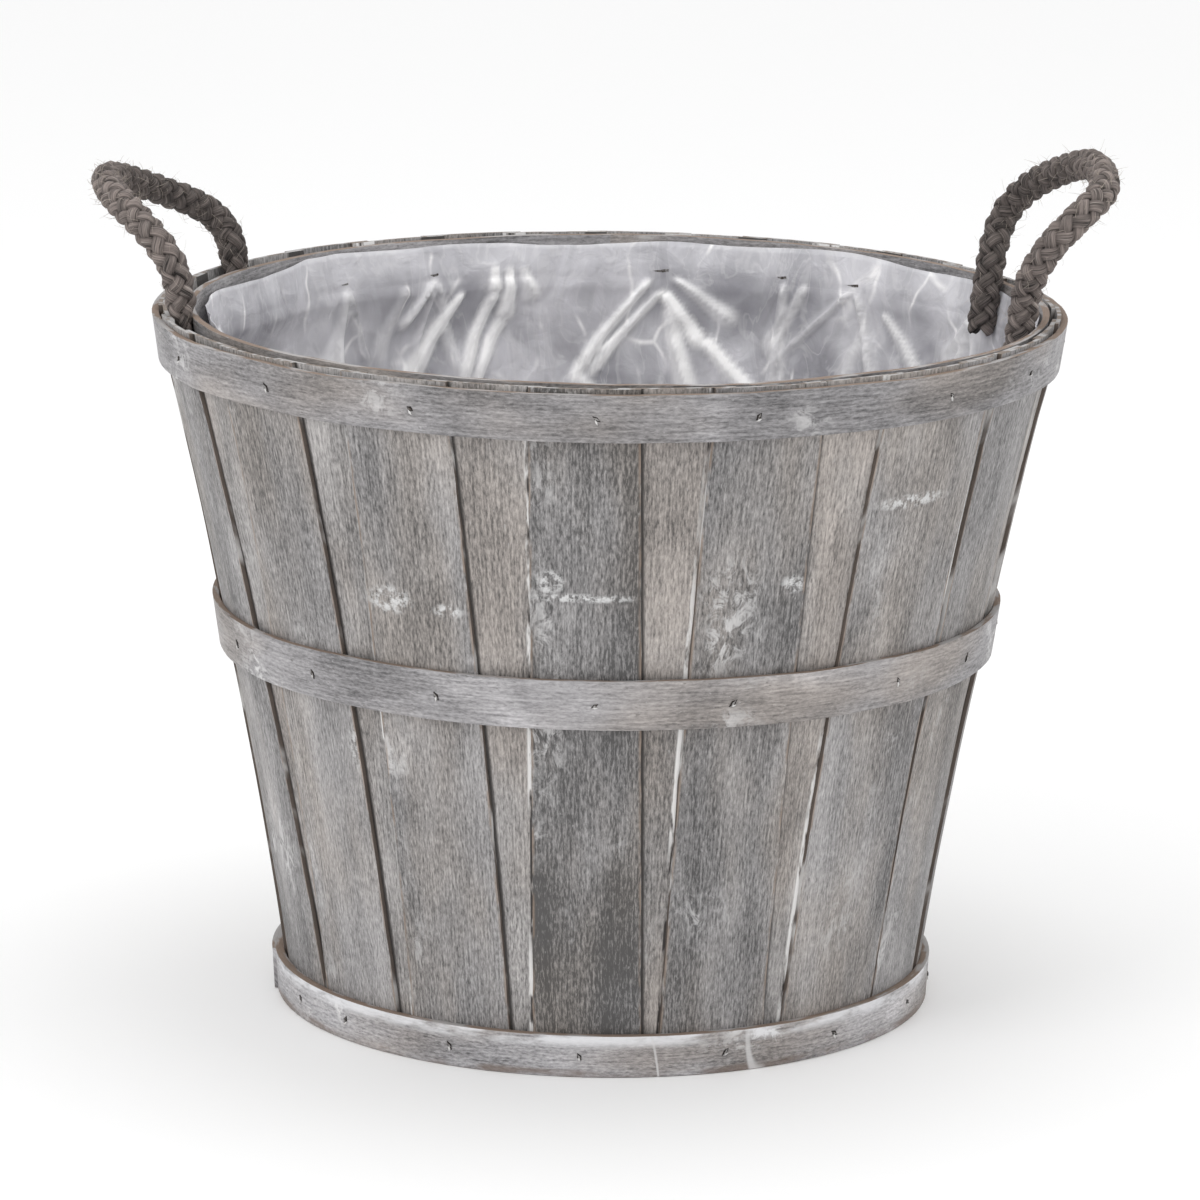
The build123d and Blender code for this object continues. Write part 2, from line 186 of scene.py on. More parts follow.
class Finish:
    """A material in the making. Its streaks follow the grain map that it is given."""

    def __init__(self, name, grain_map=None):
        self.material = bpy.data.materials.new(name)
        self.material.use_nodes = True
        self.tree = self.material.node_tree
        self.shader = self.tree.nodes["Principled BSDF"]
        self.grain = self.node("UVMap", {"uv_map": grain_map}, {}) if grain_map else None

    def node(self, kind, settings, inputs, output=0):
        made = self.tree.nodes.new("ShaderNode" + kind)
        for key, value in settings.items():
            setattr(made, key, value)
        for key, value in inputs.items():
            self.feed(made.inputs[key], value)
        return Wire(self, made.outputs[output])

    def feed(self, socket, value):
        if isinstance(value, Wire):
            self.tree.links.new(value.socket, socket)
        elif socket.type == "RGBA":
            socket.default_value = (*value, 1)
        else:
            socket.default_value = value

    def attribute(self, name):
        return self.node("Attribute", {"attribute_name": name}, {}, "Fac")

    def place(self):
        return self.node("TexCoord", {}, {}, "Object")

    def stretched(self, vector, scale, shift=(0, 0, 0)):
        inputs = {"Vector": vector, "Scale": scale, "Location": shift}
        return self.node("Mapping", {}, inputs)

    def noise(self, vector, scale=1.0, detail=3.0, roughness=0.55, distortion=0.0):
        inputs = {"Vector": vector, "Scale": scale, "Detail": detail}
        inputs.update({"Roughness": roughness, "Distortion": distortion})
        return self.node("TexNoise", {}, inputs)

    def streaks(self, along, across, shift=(0, 0), **settings):
        """Noise with its own scale along the grain and across it."""
        grain = self.stretched(self.grain, (along, across, 1), (*shift, 0))
        return self.noise(grain, **settings)

    def axis(self, number):
        """The place along x (0), y (1) or z (2), in metres."""
        return self.node("SeparateXYZ", {}, {0: self.place()}, number)

    def shade(self, colour, light):
        """A colour made lighter or darker."""
        tint = self.node("CombineColor", {}, {0: light, 1: light, 2: light})
        return self.mix(1.0, colour, tint, "MULTIPLY")

    def mix(self, factor, first, second, blend="MIX"):
        inputs = {0: factor, 6: first, 7: second}
        settings = {"data_type": "RGBA", "blend_type": blend}
        return self.node("Mix", settings, inputs, 2)

    def coat(self, factor, colour):
        """Lays a colour over what is there, as far as the factor says."""
        self.colour = self.mix(factor, self.colour, colour)

    def bump(self, height, distance, strength=1.0):
        inputs = {"Height": height, "Distance": distance, "Strength": strength}
        return self.node("Bump", {}, inputs)

    def set(self, **values):
        """Feeds the colour and the shader's other sockets, named in small letters here."""
        self.feed(self.shader.inputs["Base Color"], self.colour)
        for key, value in values.items():
            self.feed(self.shader.inputs[key.replace("_", " ").title()], value)
        return self.material


def dress(piece, *finishes):
    """Gives a piece its finishes, numbered in this order."""
    for finish in finishes:
        piece.data.materials.append(finish)


def plain(name, colour, roughness):
    """A finish of one colour."""
    finish = Finish(name)
    finish.colour = colour
    return finish.set(roughness=roughness)


dress(floor, plain("pale_floor", (0.93, 0.93, 0.93), 0.7))
print("floor finish:", floor.data.materials[0].name)

# %% [markdown]
# ## Whitewashed wood
# The boards were stained grey, brushed with thin white paint and rubbed. Close up, the
# paint sits in short strokes along the grain, a millimetre wide. Over it lie soft dark and
# warm areas, smudges of thicker paint, and bare brown wood along the cut edges. An image
# could carry all this, but noise nodes stay sharp close up and never repeat. The grain map
# runs along each board, in metres, so that the strokes follow the wood.


# %% Whitewashed wood
pale_paint = (0.62, 0.61, 0.61)


def whitewashed(name, base, warm, stroke, smudge, edge_paint_and_shade):
    """Grey whitewashed wood. edge_paint_and_shade adds what lies along the edges of the piece."""
    finish = Finish(name, "grain")
    tone = finish.attribute("tone")
    strokes = finish.streaks(400, 1250, roughness=0.7)
    fibres = finish.streaks(75, 1100, detail=2.0)
    bands = finish.streaks(9, 70)
    clouds = finish.streaks(16, 30, detail=2.0, distortion=0.6)
    warmth = finish.streaks(11, 26, (3, 5), detail=2.0)
    scuffs = finish.streaks(130, 170, detail=4.0, roughness=0.7, distortion=1.2)
    patches = finish.streaks(14, 22, (7, 2))

    light = 1.0 + (strokes - 0.5) * stroke + (fibres - 0.5) * 1.5
    light = light + (bands - 0.5) * 1.3 + (clouds - 0.5) * 1.5 + tone
    worn = finish.streaks(20, 34, (9, 9), detail=2.5, distortion=0.8)
    light = light.at_least(0.3) * (1.0 - worn.step(0.56, 0.70) * 0.14 + worn.step(0.40, 0.28) * 0.24)
    finish.colour = finish.shade(finish.mix(warmth.step(0.42, 0.68), base, warm), light)
    paint = patches.step(0.56, 0.72) * scuffs.step(0.46, 0.62) * smudge
    finish.coat(paint, (0.66, 0.65, 0.65))
    flecks = finish.streaks(420, 900, (1, 9), detail=1.0).step(0.70, 0.76)
    finish.coat(flecks * 0.25, pale_paint)
    pits = finish.streaks(300, 800, (4, 4), detail=1.0).step(0.30, 0.25)
    finish.coat(pits * 0.5, (0.10, 0.09, 0.085))
    height = strokes * 0.6 + fibres * 0.3 + paint * 0.4
    # Along the edges: paint and bare wood, and on some pieces painted shade or a painted highlight.
    if edge_paint_and_shade:
        edge_paint_and_shade(finish)
    normal = finish.bump(height, 0.0005, 0.55)
    rough = 0.62 + (strokes - 0.5) * 0.25 - paint * 0.1
    return finish.set(roughness=rough, normal=normal)


# %% Paint and dirt along the edges
# Thick smudges of white paint on the front, in millimetres: middle across, middle up, half
# width and half height
smudges = [
    (-8, 184, 21, 2.0), (-20, 190, 6, 5.0), (-77, 178, 9, 6.0),
    (66, 187, 5, 4.0), (108, 213, 15, 3.0), (-86, 119, 7, 12.0),
    (-56, 176, 6, 3.0),
]


def outer_edge(finish):
    """Smudges of paint, and bare brown wood a little way in from an outer stave's edges."""
    across, deep, up = (finish.axis(number) for number in range(3))
    torn = finish.noise(finish.place(), scale=330, detail=4.0, roughness=0.75)
    marked = None
    for middle, height, half_width, half_height in smudges:
        beside = (across - middle * MM) / (half_width * MM)
        above = (up - height * MM) / (half_height * MM)
        near = (beside * beside + above * above).step(1.2, 0.1)
        marked = near if marked is None else marked.at_least(near)
    marked = marked * torn.step(0.44, 0.60) * deep.step(0.02, -0.02)
    finish.coat(marked * 0.85, (0.66, 0.66, 0.66))
    ragged = finish.streaks(90, 300, (2, 7))
    near = finish.attribute("from_edge").step(1.5, 0.3) * ragged.step(0.40, 0.60)
    finish.coat(near * 0.75, (0.25, 0.185, 0.14))


def foot_highlight_and_paint(finish):
    """A painted highlight on the foot hoop's upper edge, brown wood at its lower edge, pale seams."""
    height = finish.axis(2)
    ragged = finish.streaks(45, 160, (6, 1), detail=4.0)
    # Painted highlight: the hoop's upper edge is made paler, with a ragged border.
    upper = height.step(10.0 * MM, 14.0 * MM) * ragged.step(0.34, 0.56)
    finish.coat(upper * 0.8, (0.76, 0.76, 0.78))
    lower = height.step(3.6 * MM, 1.4 * MM) * ragged.step(0.35, 0.60)
    finish.coat(lower * 0.7, (0.15, 0.105, 0.08))
    seams = finish.streaks(26, 9, (8, 3), detail=1.5, distortion=0.8)
    seam = (seams - 0.5).size().step(0.012, 0.004)
    drawn = finish.streaks(7, 7, (2, 8), detail=1.0).step(0.5, 0.62)
    finish.coat(seam * drawn * 0.8, pale_paint)


def inner_edge(finish):
    """Painted shade in one corner beside the covering stave, and white paint in the other, broken by
    spots of painted shade.
    """
    ragged = finish.streaks(55, 200, (6, 1), detail=4.0)
    drawn = finish.streaks(10, 10, (2, 2), detail=1.0)
    # Painted shade: a dark line in the corner beside the left covering stave, whose edge shades the
    # inner stave.
    dark = finish.attribute("from_left").step(1.7, 0.5)
    finish.coat(dark * 0.92, (0.030, 0.026, 0.024))
    line = finish.attribute("from_right").step(1.9, 1.1) * ragged.step(0.45, 0.53)
    line = line * drawn.step(0.40, 0.52)
    finish.coat(line, (0.80, 0.79, 0.78))
    # Painted shade: dark spots in the corner beside the right covering stave, where the white line
    # breaks off.
    shaded_hole = finish.attribute("from_right").step(1.0, 0.6) * ragged.step(0.47, 0.40)
    finish.coat(shaded_hole, (0.035, 0.03, 0.028))


# %% The wooden finishes
stave_wood = whitewashed(
    "stave_wood", (0.240, 0.232, 0.232), (0.250, 0.229, 0.214), 3.3, 0.75, outer_edge
)
inner_wood = whitewashed(
    "inner_stave_wood", (0.280, 0.268, 0.263), (0.285, 0.258, 0.240), 3.0, 0.6, inner_edge
)
hoop_wood = whitewashed(
    "hoop_wood", (0.258, 0.250, 0.256), (0.245, 0.222, 0.208), 2.0, 0.85, None
)
foot_wood = whitewashed(
    "foot_hoop_wood", (0.285, 0.278, 0.286), (0.225, 0.205, 0.195), 3.0, 2.2, foot_highlight_and_paint
)


def bare_wood(name, colour, pale, share):
    """Cut edges: brown end grain with some paint left on it."""
    finish = Finish(name, "grain")
    strokes = finish.streaks(120, 1400)
    left = finish.streaks(35, 160, (1, 1))
    finish.colour = finish.shade(colour, 0.75 + strokes * 0.6)
    finish.coat(left.step(share, share + 0.10), pale)
    return finish.set(roughness=0.8, normal=finish.bump(strokes, 0.0003))


# Painted shade: the stave sides sit in the gaps, so their bare wood is made about half as light as the
# cut tops.
shaded_cut_side = bare_wood("bare_side_painted_shade", (0.095, 0.076, 0.064), (0.52, 0.51, 0.50), 0.52)
cut_top = bare_wood("bare_top", (0.19, 0.155, 0.13), (0.40, 0.39, 0.385), 0.46)
hoop_cut = bare_wood("bare_hoop_edge", (0.21, 0.155, 0.12), (0.36, 0.345, 0.34), 0.50)
print("wooden finishes:", stave_wood.name, inner_wood.name, hoop_wood.name, foot_wood.name)

# %% [markdown]
# ## Worn copies of the wooden pieces
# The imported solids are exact, with knife-sharp edges. Real boards are a little wavy, with
# rounded, chipped edges. Each wooden piece is copied, its loose triangles are merged, and
# it is cut with the bisect tool into a net that is fine enough to bend. Then its corners
# are nudged by smooth noise, and a small bevel rounds its edges.


# %% Worn copies
weld_distance = 1e-6
film_weld_distance = 1e-5
bevel_angle = math.radians(40)
smooth_angle = math.radians(38)


def choose(piece):
    """Selects one piece alone and makes it the active one."""
    deselect_all()
    piece.select_set(True)
    bpy.context.view_layer.objects.active = piece


def select_faces(action="SELECT"):
    """Selects or deselects all of the piece in edit mode."""
    bpy.ops.mesh.select_all(action=action)


def weld(piece, distance=weld_distance):
    """Merges corners that lie together, and stays in edit mode with all selected."""
    choose(piece)
    bpy.ops.object.mode_set(mode="EDIT")
    select_faces()
    bpy.ops.mesh.remove_doubles(threshold=distance)
    select_faces()


def face_outward():
    """Turns all faces of the piece in edit mode outward, and leaves edit mode."""
    select_faces()
    bpy.ops.mesh.normals_make_consistent(inside=False)
    bpy.ops.object.mode_set(mode="OBJECT")


def copy_of(node, name):
    """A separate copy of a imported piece, merged and in edit mode."""
    piece = nodes[node].copy()
    piece.data = nodes[node].data.copy()
    piece.parent = None
    piece.name = name
    piece.data.name = name
    for key in list(piece.keys()):
        del piece[key]
    piece.data.materials.clear()
    bpy.context.scene.collection.objects.link(piece)
    weld(piece)
    return piece


def cut_levels(heights):
    """Cuts the piece in edit mode at level heights."""
    for height in heights:
        select_faces()
        bpy.ops.mesh.bisect(plane_co=(0, 0, height), plane_no=(0, 0, 1))


def cut_upright(angles):
    """Cuts the piece in edit mode on upright planes through the basket's axis."""
    for angle in angles:
        select_faces()
        bpy.ops.mesh.bisect(plane_co=(0, 0, 0), plane_no=(math.cos(angle), math.sin(angle), 0))


# %% Corners, angles and noise
def corners_of(piece):
    """The piece's corners as an array."""
    points = np.empty(len(piece.data.vertices) * 3, np.float64)
    piece.data.vertices.foreach_get("co", points)
    return points.reshape(-1, 3)


def put_corners(piece, points):
    """Moves the piece's corners to new places."""
    piece.data.vertices.foreach_set("co", points.ravel())
    piece.data.update()


def turned(angles, middle):
    """Angles from a middle, within half a turn of it."""
    return (angles - middle + math.pi) % math.tau - math.pi


def angle_of(points, middle):
    """Angles round from the front, positive to the right, within half a turn of a middle."""
    return turned(np.arctan2(points[:, 0], -points[:, 1]), middle) + middle


def radius_of(points):
    """Distances from the basket's upright axis."""
    return np.hypot(points[:, 0], points[:, 1])


def outward_of(points):
    """Level directions away from the axis, one unit long."""
    return points * np.array([1, 1, 0]) / radius_of(points)[:, None]


def ramp(values, start, end):
    """0 up to a start, 1 beyond an end, and a straight rise between."""
    return np.clip((values - start) / (end - start), 0, 1)


def smooth_noise(points, scale, seed):
    """Smooth noise from -1 to 1 at each point."""
    shift = Vector((seed * 3.7, seed * 1.3, seed * 2.9))
    return np.array([noise.noise(Vector(point) * scale + shift) for point in points])


# %% Maps, values and soft edges
def give_map(piece, along_height, shift, middle):
    """The grain map: x runs along the grain and y across it, in metres."""
    mesh = piece.data
    layer = mesh.uv_layers.new(name="grain")
    points = corners_of(piece)
    radius = radius_of(points)
    mean_radius = float(radius.mean())
    angles = angle_of(points, middle)
    loops = np.empty(len(mesh.loops), np.int32)
    mesh.loops.foreach_get("vertex_index", loops)
    around = angles[loops] * mean_radius
    height = points[loops, 2] + (mean_radius - radius[loops])
    for face in mesh.polygons:
        span = slice(face.loop_start, face.loop_start + face.loop_total)
        if np.ptp(around[span]) > math.pi * mean_radius:
            around[span] += np.where(around[span] < 0, math.tau * mean_radius, 0)
    pair = (height, around) if along_height else (around, height)
    flat = np.stack([pair[0] + shift, pair[1] + shift * 1.7], axis=1)
    layer.data.foreach_set("uv", flat.astype(np.float32).ravel())


def give_value(piece, name, values):
    """A number at each corner of the piece that its material reads."""
    layer = piece.data.attributes.new(name, "FLOAT", "POINT")
    layer.data.foreach_set("value", np.asarray(values, np.float32))


def soften(piece, width):
    """A small bevel on the piece's sharp edges, applied, and smooth shading up to them."""
    choose(piece)
    bevel = piece.modifiers.new("worn_edges", "BEVEL")
    bevel.width = width
    bevel.segments = 2
    bevel.limit_method = "ANGLE"
    bevel.angle_limit = bevel_angle
    bpy.ops.object.modifier_apply(modifier="worn_edges")
    bpy.ops.object.shade_smooth_by_angle(angle=smooth_angle)


outer_hoops = ["rim_outer_hoop", "middle_hoop", "foot_hoop"]
held_beyond = 4 * MM
freed_over = 12 * MM
held = [(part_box(name)[0].z - held_beyond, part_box(name)[1].z + held_beyond) for name in outer_hoops]


def free_of_hoops(heights):
    """1 between the hoops and 0 behind them, where the staves are held tight."""
    free = np.ones(len(heights))
    for low, high in held:
        outside = np.maximum(low - heights, heights - high)
        free = np.minimum(free, ramp(outside, 0, freed_over))
    return free


print("staves are held tight at", [round(low / MM) for low, _ in held], "mm and up")

# %% [markdown]
# ## Staves
# A stave is a thin strip cut from a log with a knife, so it is even in thickness but its
# long edges wander by a few tenths of a millimetre and its face is gently wavy. Where an
# inner stave shows between two outer ones, shade falls in one corner and is painted there,
# and white paint lies in the other, so each inner stave also carries its distance from the
# staves over it.

# %% Staves
level_step = 9 * MM
levels = np.arange(level_step, rim_height - 2 * MM, level_step)
column_step = math.radians(2.0)
wave = 0.35 * MM
wander = 0.35 * MM
edge_zone = 4 * MM
outer_bevel = 0.28 * MM
inner_bevel = 0.2 * MM


def edge_angles(piece, middle):
    """The piece's side angles at each cut level, as heights, left angles, right angles."""
    points = corners_of(piece)
    angles = angle_of(points, middle)
    rows = []
    for height in [0.9 * MM, *levels, rim_height - 0.1 * MM]:
        near = np.abs(points[:, 2] - height) < 0.25 * MM
        if near.any():
            rows.append((height, angles[near].min(), angles[near].max()))
    return np.array(rows).T


def make_stave(node, seed, tones):
    """One worn stave, with its maps, and the angles of its edges and of its middle."""
    points = corners_of(nodes[node])
    middle_point = points.mean(axis=0)
    middle = math.atan2(middle_point[0], -middle_point[1])
    piece = copy_of(node, node.replace("stave", "board"))
    cut_levels(levels)
    cut_upright([middle + step * column_step for step in range(-5, 6)])
    bpy.ops.object.mode_set(mode="OBJECT")
    points = corners_of(piece)
    edges = edge_angles(piece, middle)
    angles = angle_of(points, middle)
    radius = radius_of(points)
    left = np.interp(points[:, 2], edges[0], edges[1])
    right = np.interp(points[:, 2], edges[0], edges[2])
    from_left = (angles - left) * radius
    from_right = (right - angles) * radius
    give_value(piece, "from_edge", np.minimum(from_left, from_right) / MM)
    free = free_of_hoops(points[:, 2])
    push = smooth_noise(points, 22, seed) * wave * free
    side = smooth_noise(points * np.array([1, 1, 2.2]), 60, seed + 40) * wander
    side = side + smooth_noise(points, 260, seed + 80) * 0.12 * MM
    at_side = ramp(np.minimum(from_left, from_right), edge_zone, 0)
    out = outward_of(points)
    round_way = np.stack([-out[:, 1], out[:, 0], out[:, 2]], axis=1)
    points = points + out * (push - 0.5 * wave * free)[:, None]
    inward = side * at_side * np.where(from_left < from_right, 1, -1)
    points = points + round_way * inward[:, None]
    put_corners(piece, points)
    give_value(piece, "tone", np.full(len(points), tones[seed % stave_count]))
    give_map(piece, True, seed * 0.37, middle)
    return piece, edges, middle


# %% Making both layers
# How much lighter or darker the staves of a layer are; each takes one tone by its seed
outer_tones = [-0.48, -0.12, 0.06, 0.00, -0.06, 0.04, 0.08, -0.04]
outer_tones += [0.02, 0.06, -0.08, 0.03, 0.00, -0.04, 0.06, 0.05]
inner_tones = [0.06, 0.02, -0.02, 0.04, -0.04, 0.05, 0.00, 0.02]
inner_tones += [-0.05, 0.03, 0.06, -0.02, 0.02, 0.00, -0.03, 0.05]


def paint_stave(piece, face_finish):
    """The wide faces get the whitewash; the thin sides get cut wood darkened with painted shade, and
    the ends get cut wood.
    """
    dress(piece, face_finish, shaded_cut_side, cut_top)
    for face in piece.data.polygons:
        out = Vector((face.center.x, face.center.y, 0)).normalized()
        if abs(face.normal.z) > 0.8:
            face.material_index = 2
        elif abs(face.normal.dot(out)) < 0.5:
            face.material_index = 1
        else:
            face.material_index = 0


outer_edges = []
for place, node in enumerate(outer_names):
    stave, edges, _ = make_stave(node, place, outer_tones)
    outer_edges.append(edges)
    paint_stave(stave, stave_wood)
    soften(stave, outer_bevel)
    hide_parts(node)
    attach(stave, "basket")

for place, node in enumerate(inner_names):
    stave, _, middle = make_stave(node, place + 20, inner_tones)
    points = corners_of(stave)
    angles = angle_of(points, middle)
    radius = radius_of(points)
    left_edges = outer_edges[place]
    right_edges = outer_edges[(place + 1) % stave_count]
    cover_left = np.interp(points[:, 2], left_edges[0], left_edges[2])
    cover_right = np.interp(points[:, 2], right_edges[0], right_edges[1])
    give_value(stave, "from_left", turned(angles, cover_left) * radius / MM)
    give_value(stave, "from_right", -turned(angles, cover_right) * radius / MM)
    paint_stave(stave, inner_wood)
    soften(stave, inner_bevel)
    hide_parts(node)
    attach(stave, "basket")
print("staves:", len(outer_names) + len(inner_names))

# %% [markdown]
# ## Hoops
# A hoop is a flat strip of wood bent round the staves and nailed on with wire staples.
# Its faces carry the same whitewash with the grain running round, and its thin cut edges
# show warm bare wood. A hoop could be swept along a circle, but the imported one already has
# its lapped ends, so a worn copy of it is made.

# %% Hoops
hoop_bevel = 0.35 * MM


def make_worn_hoop(node, seed, bend, tone, face_finish):
    """A hoop with gently uneven edges and rounded corners."""
    piece = copy_of(node, node.replace("hoop", "band"))
    low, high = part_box(node)
    cut_levels([low.z + (high.z - low.z) * share for share in (0.25, 0.5, 0.75)])
    cut_upright([math.radians(3) * step for step in range(60)])
    bpy.ops.object.mode_set(mode="OBJECT")
    points = corners_of(piece)
    out = outward_of(points)
    lift = smooth_noise(out, 4.5, seed) * bend * 1.2
    lift = lift + smooth_noise(out, 26, seed + 5) * bend * 0.4
    top_share = ramp(points[:, 2], low.z, high.z)
    points[:, 2] += lift * np.where(top_share > 0.5, 1.0, 0.7) * np.abs(top_share - 0.5) * 2
    swell = np.abs(smooth_noise(points, 30, seed + 9)) * bend * 0.5
    points = points + out * swell[:, None]
    put_corners(piece, points)
    give_value(piece, "tone", np.full(len(points), tone))
    give_map(piece, False, seed * 0.53, 0.0)
    dress(piece, face_finish, hoop_cut)
    for face in piece.data.polygons:
        face.material_index = 1 if abs(face.normal.z) > 0.7 else 0
    soften(piece, hoop_bevel)
    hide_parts(node)
    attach(piece, "basket")
    print(node, "worn:", len(piece.data.polygons), "faces")


for node, seed, bend, tone, face_finish in (
    ("rim_outer_hoop", 1, 0.45 * MM, 0.0, hoop_wood),
    ("middle_hoop", 2, 0.4 * MM, 0.08, hoop_wood),
    ("foot_hoop", 3, 0.0 * MM, 0.24, foot_wood),
    ("rim_inner_hoop", 4, 0.4 * MM, 0.0, hoop_wood),
):
    make_worn_hoop(node, seed, bend, tone, face_finish)

# %% [markdown]
# ## Staples and the base
# The hoops' staples were driven deep, so that each shows only as a small nick: a short
# piece of dull wire in a torn hole, with painted shade on a dark chip in the hole and a
# painted highlight on a pale chip beside it. Dark spots in the paint would look flat from
# the side, so each nick is three thin chips, set where a packed staple is. The liner's
# staples keep their shapes, and the board is bare wood.


# %% Wire and board finishes
def wire_steel():
    """Dull wire with darker, rusty spots."""
    finish = Finish("staple_wire")
    spots = finish.noise(finish.place(), scale=900, detail=2.0)
    finish.colour = finish.mix(spots.step(0.45, 0.62), (0.30, 0.29, 0.285), (0.10, 0.085, 0.075))
    return finish.set(roughness=0.35 + spots * 0.3, metallic=0.8)


def board_wood():
    """Plain bare wood for the board inside the foot."""
    finish = Finish("base_wood")
    grain = finish.stretched(finish.place(), (12, 320, 40))
    fibres = finish.noise(grain, detail=4.0)
    finish.colour = finish.mix(fibres, (0.20, 0.145, 0.105), (0.42, 0.33, 0.25))
    return finish.set(roughness=0.8, normal=finish.bump(fibres, 0.0004))


# %% Nicks
def separate_parts(mesh):
    """Groups of a mesh's corners that hang together: one group per staple."""
    group = list(range(len(mesh.vertices)))

    def head(corner):
        while group[corner] != corner:
            group[corner] = group[group[corner]]
            corner = group[corner]
        return corner

    for edge in mesh.edges:
        first, second = (head(corner) for corner in edge.vertices)
        group[first] = second
    found = {}
    for corner in range(len(group)):
        found.setdefault(head(corner), []).append(corner)
    return list(found.values())


def skin(made, rings):
    """The faces between rings of corners, and one across each end."""
    faces = [made.faces.new(rings[0][::-1]), made.faces.new(rings[-1])]
    for lower, upper in zip(rings, rings[1:]):
        for corner in range(len(lower)):
            after = (corner + 1) % len(lower)
            around = (lower[corner], lower[after], upper[after], upper[corner])
            faces.append(made.faces.new(around))
    return faces


def add_chip(made, middle, out, lean, half_length, half_width, rise, finish_number):
    """A small pointed chip lying on a hoop, leaning by an angle, as a closed solid."""
    beside = Vector((-out.y, out.x, 0))
    along = beside * math.cos(lean) + Vector((0, 0, 1)) * math.sin(lean)
    across = out.cross(along)
    long_step, wide_step = along * half_length, across * half_width
    outline = [long_step, wide_step, -long_step, -wide_step]
    low = [made.verts.new(middle - out * 0.5 * MM + step) for step in outline]
    high = [made.verts.new(middle + out * rise + step * 0.85) for step in outline]
    for face in skin(made, [low, high]):
        face.material_index = finish_number


def make_nicks(node, seed):
    """Small sunk staples, each in a nick with painted shade and a painted highlight beside it, at the
    places of a node's staples.
    """
    draw = np.random.default_rng(seed)
    piece = copy_of(node, node.replace("staples", "nicks"))
    bpy.ops.object.mode_set(mode="OBJECT")
    points = corners_of(piece)
    made = bmesh.new()
    for part in separate_parts(piece.data):
        middle = Vector(points[part].mean(axis=0))
        out = Vector((middle.x, middle.y, 0)).normalized()
        reach = max(Vector(point).dot(out) for point in points[part])
        surface = middle + out * (reach - middle.dot(out) - 0.25 * MM)
        lean = draw.choice([-1, 1]) * draw.uniform(0.5, 1.2)
        shaded_hole = draw.uniform(1.5, 2.3) * MM
        # A dark chip in the hole: painted shade.
        add_chip(made, surface, out, lean, shaded_hole, draw.uniform(0.7, 1.1) * MM, 0.22 * MM, 1)
        add_chip(made, surface, out, lean + 0.2, shaded_hole * 0.8, 0.4 * MM, 0.42 * MM, 0)
        # A pale chip below it: a painted highlight.
        side = Vector((0, 0, -1)) * draw.uniform(0.7, 1.3) * MM
        add_chip(made, surface + side, out, lean - 0.5, 1.3 * MM, 0.45 * MM, 0.25 * MM, 2)
    made.to_mesh(piece.data)
    made.free()
    dress(piece, staple_wire, painted_hole_shade, painted_highlight_chip)
    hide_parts(node)
    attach(piece, "basket")


# %% Staples and base
staple_wire = wire_steel()
# Painted shade: the dark chip that stands for the shade in each nick.
painted_hole_shade = plain("painted_hole_shade", (0.022, 0.018, 0.016), 0.9)
# Painted highlight: the pale chip beside each nick.
painted_highlight_chip = plain("painted_highlight_chip", (0.62, 0.61, 0.60), 0.7)
for seed, node in enumerate(("rim_hoop_staples", "middle_hoop_staples", "foot_hoop_staples")):
    make_nicks(node, seed + 60)
for node, finish in (("liner_staples", staple_wire), ("base_board", board_wood())):
    nodes[node].data.materials.clear()
    dress(nodes[node], finish)
print("staples and base board have their finishes")

# %% [markdown]
# ## The film liner
# The liner is a bag of clear film. Its folded edge is stapled to the inner hoop, and the
# film hangs from it in creases that fan out below the staples. A cloth simulation would
# crease it too, but not where the real creases are. So a grid is rolled into a tube,
# drawn in to the basket's inside, and pushed in along each crease. Its rows lie closest
# near the rim and its columns closest at the back, where most of it is seen. One flank of
# a crease catches the light as a pale streak, so a value records how bright that flank is,
# and the finish paints it as a highlight.

# %% Film liner
film_columns = 500
film_rows = 96
hem_share = 0.07
wall_share = 0.90
film_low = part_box("plastic_liner")[0].z + 0.6 * MM
film_points = corners_of(nodes["plastic_liner"])
neck_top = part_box("plastic_liner")[1].z
top_ring = film_points[film_points[:, 2] > neck_top - 0.2 * MM]
neck_centre = (top_ring[:, 0].min() + top_ring[:, 0].max()) / 2
neck_radius = (top_ring[:, 0].max() - top_ring[:, 0].min()) / 2 - 0.7 * MM
neck_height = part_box("rim_inner_hoop")[0].z
film_edge = rim_height - 2.2 * MM
film_gap = 2.4 * MM
wall_lean = 0.1416
film_thickness = 0.12 * MM
row_crowding = 1.7
column_crowding = 0.42
# Where the hem stands off the wall: angle, half width in radians, and millimetres
film_sags = [(-116, 0.17, 4.5), (-82, 0.20, 3.5)]
staple_angles = [-152, -136, -100, -62, -34, -6, 24, 52, 74, 117, 143, 155]
back_staple_angle = 173
staple_height = (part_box("liner_staples")[0].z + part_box("liner_staples")[1].z) / 2


def rolled_grid(name, along, around):
    """A grid whose second direction will be rolled into a tube."""
    deselect_all()
    bpy.ops.mesh.primitive_grid_add(x_subdivisions=along, y_subdivisions=around, size=1)
    piece = bpy.context.object
    piece.name = name
    piece.data.name = name
    return piece


def wall_inside():
    """The inside of the inner staves, as heights and radii."""
    points = corners_of(nodes["inner_stave_01"])
    radius = radius_of(points)
    rows = []
    for height in np.linspace(2 * MM, rim_height - 1 * MM, 40):
        near = np.abs(points[:, 2] - height) < 9 * MM
        if near.any():
            rows.append((height, radius[near].min()))
    heights, radii = np.array(rows).T
    return heights, np.polyval(np.polyfit(heights, radii, 2), heights)


inside_heights, inside_radii = wall_inside()
print("film edge at", round(film_edge / MM, 1), "mm, neck radius", round(neck_radius / MM, 1))
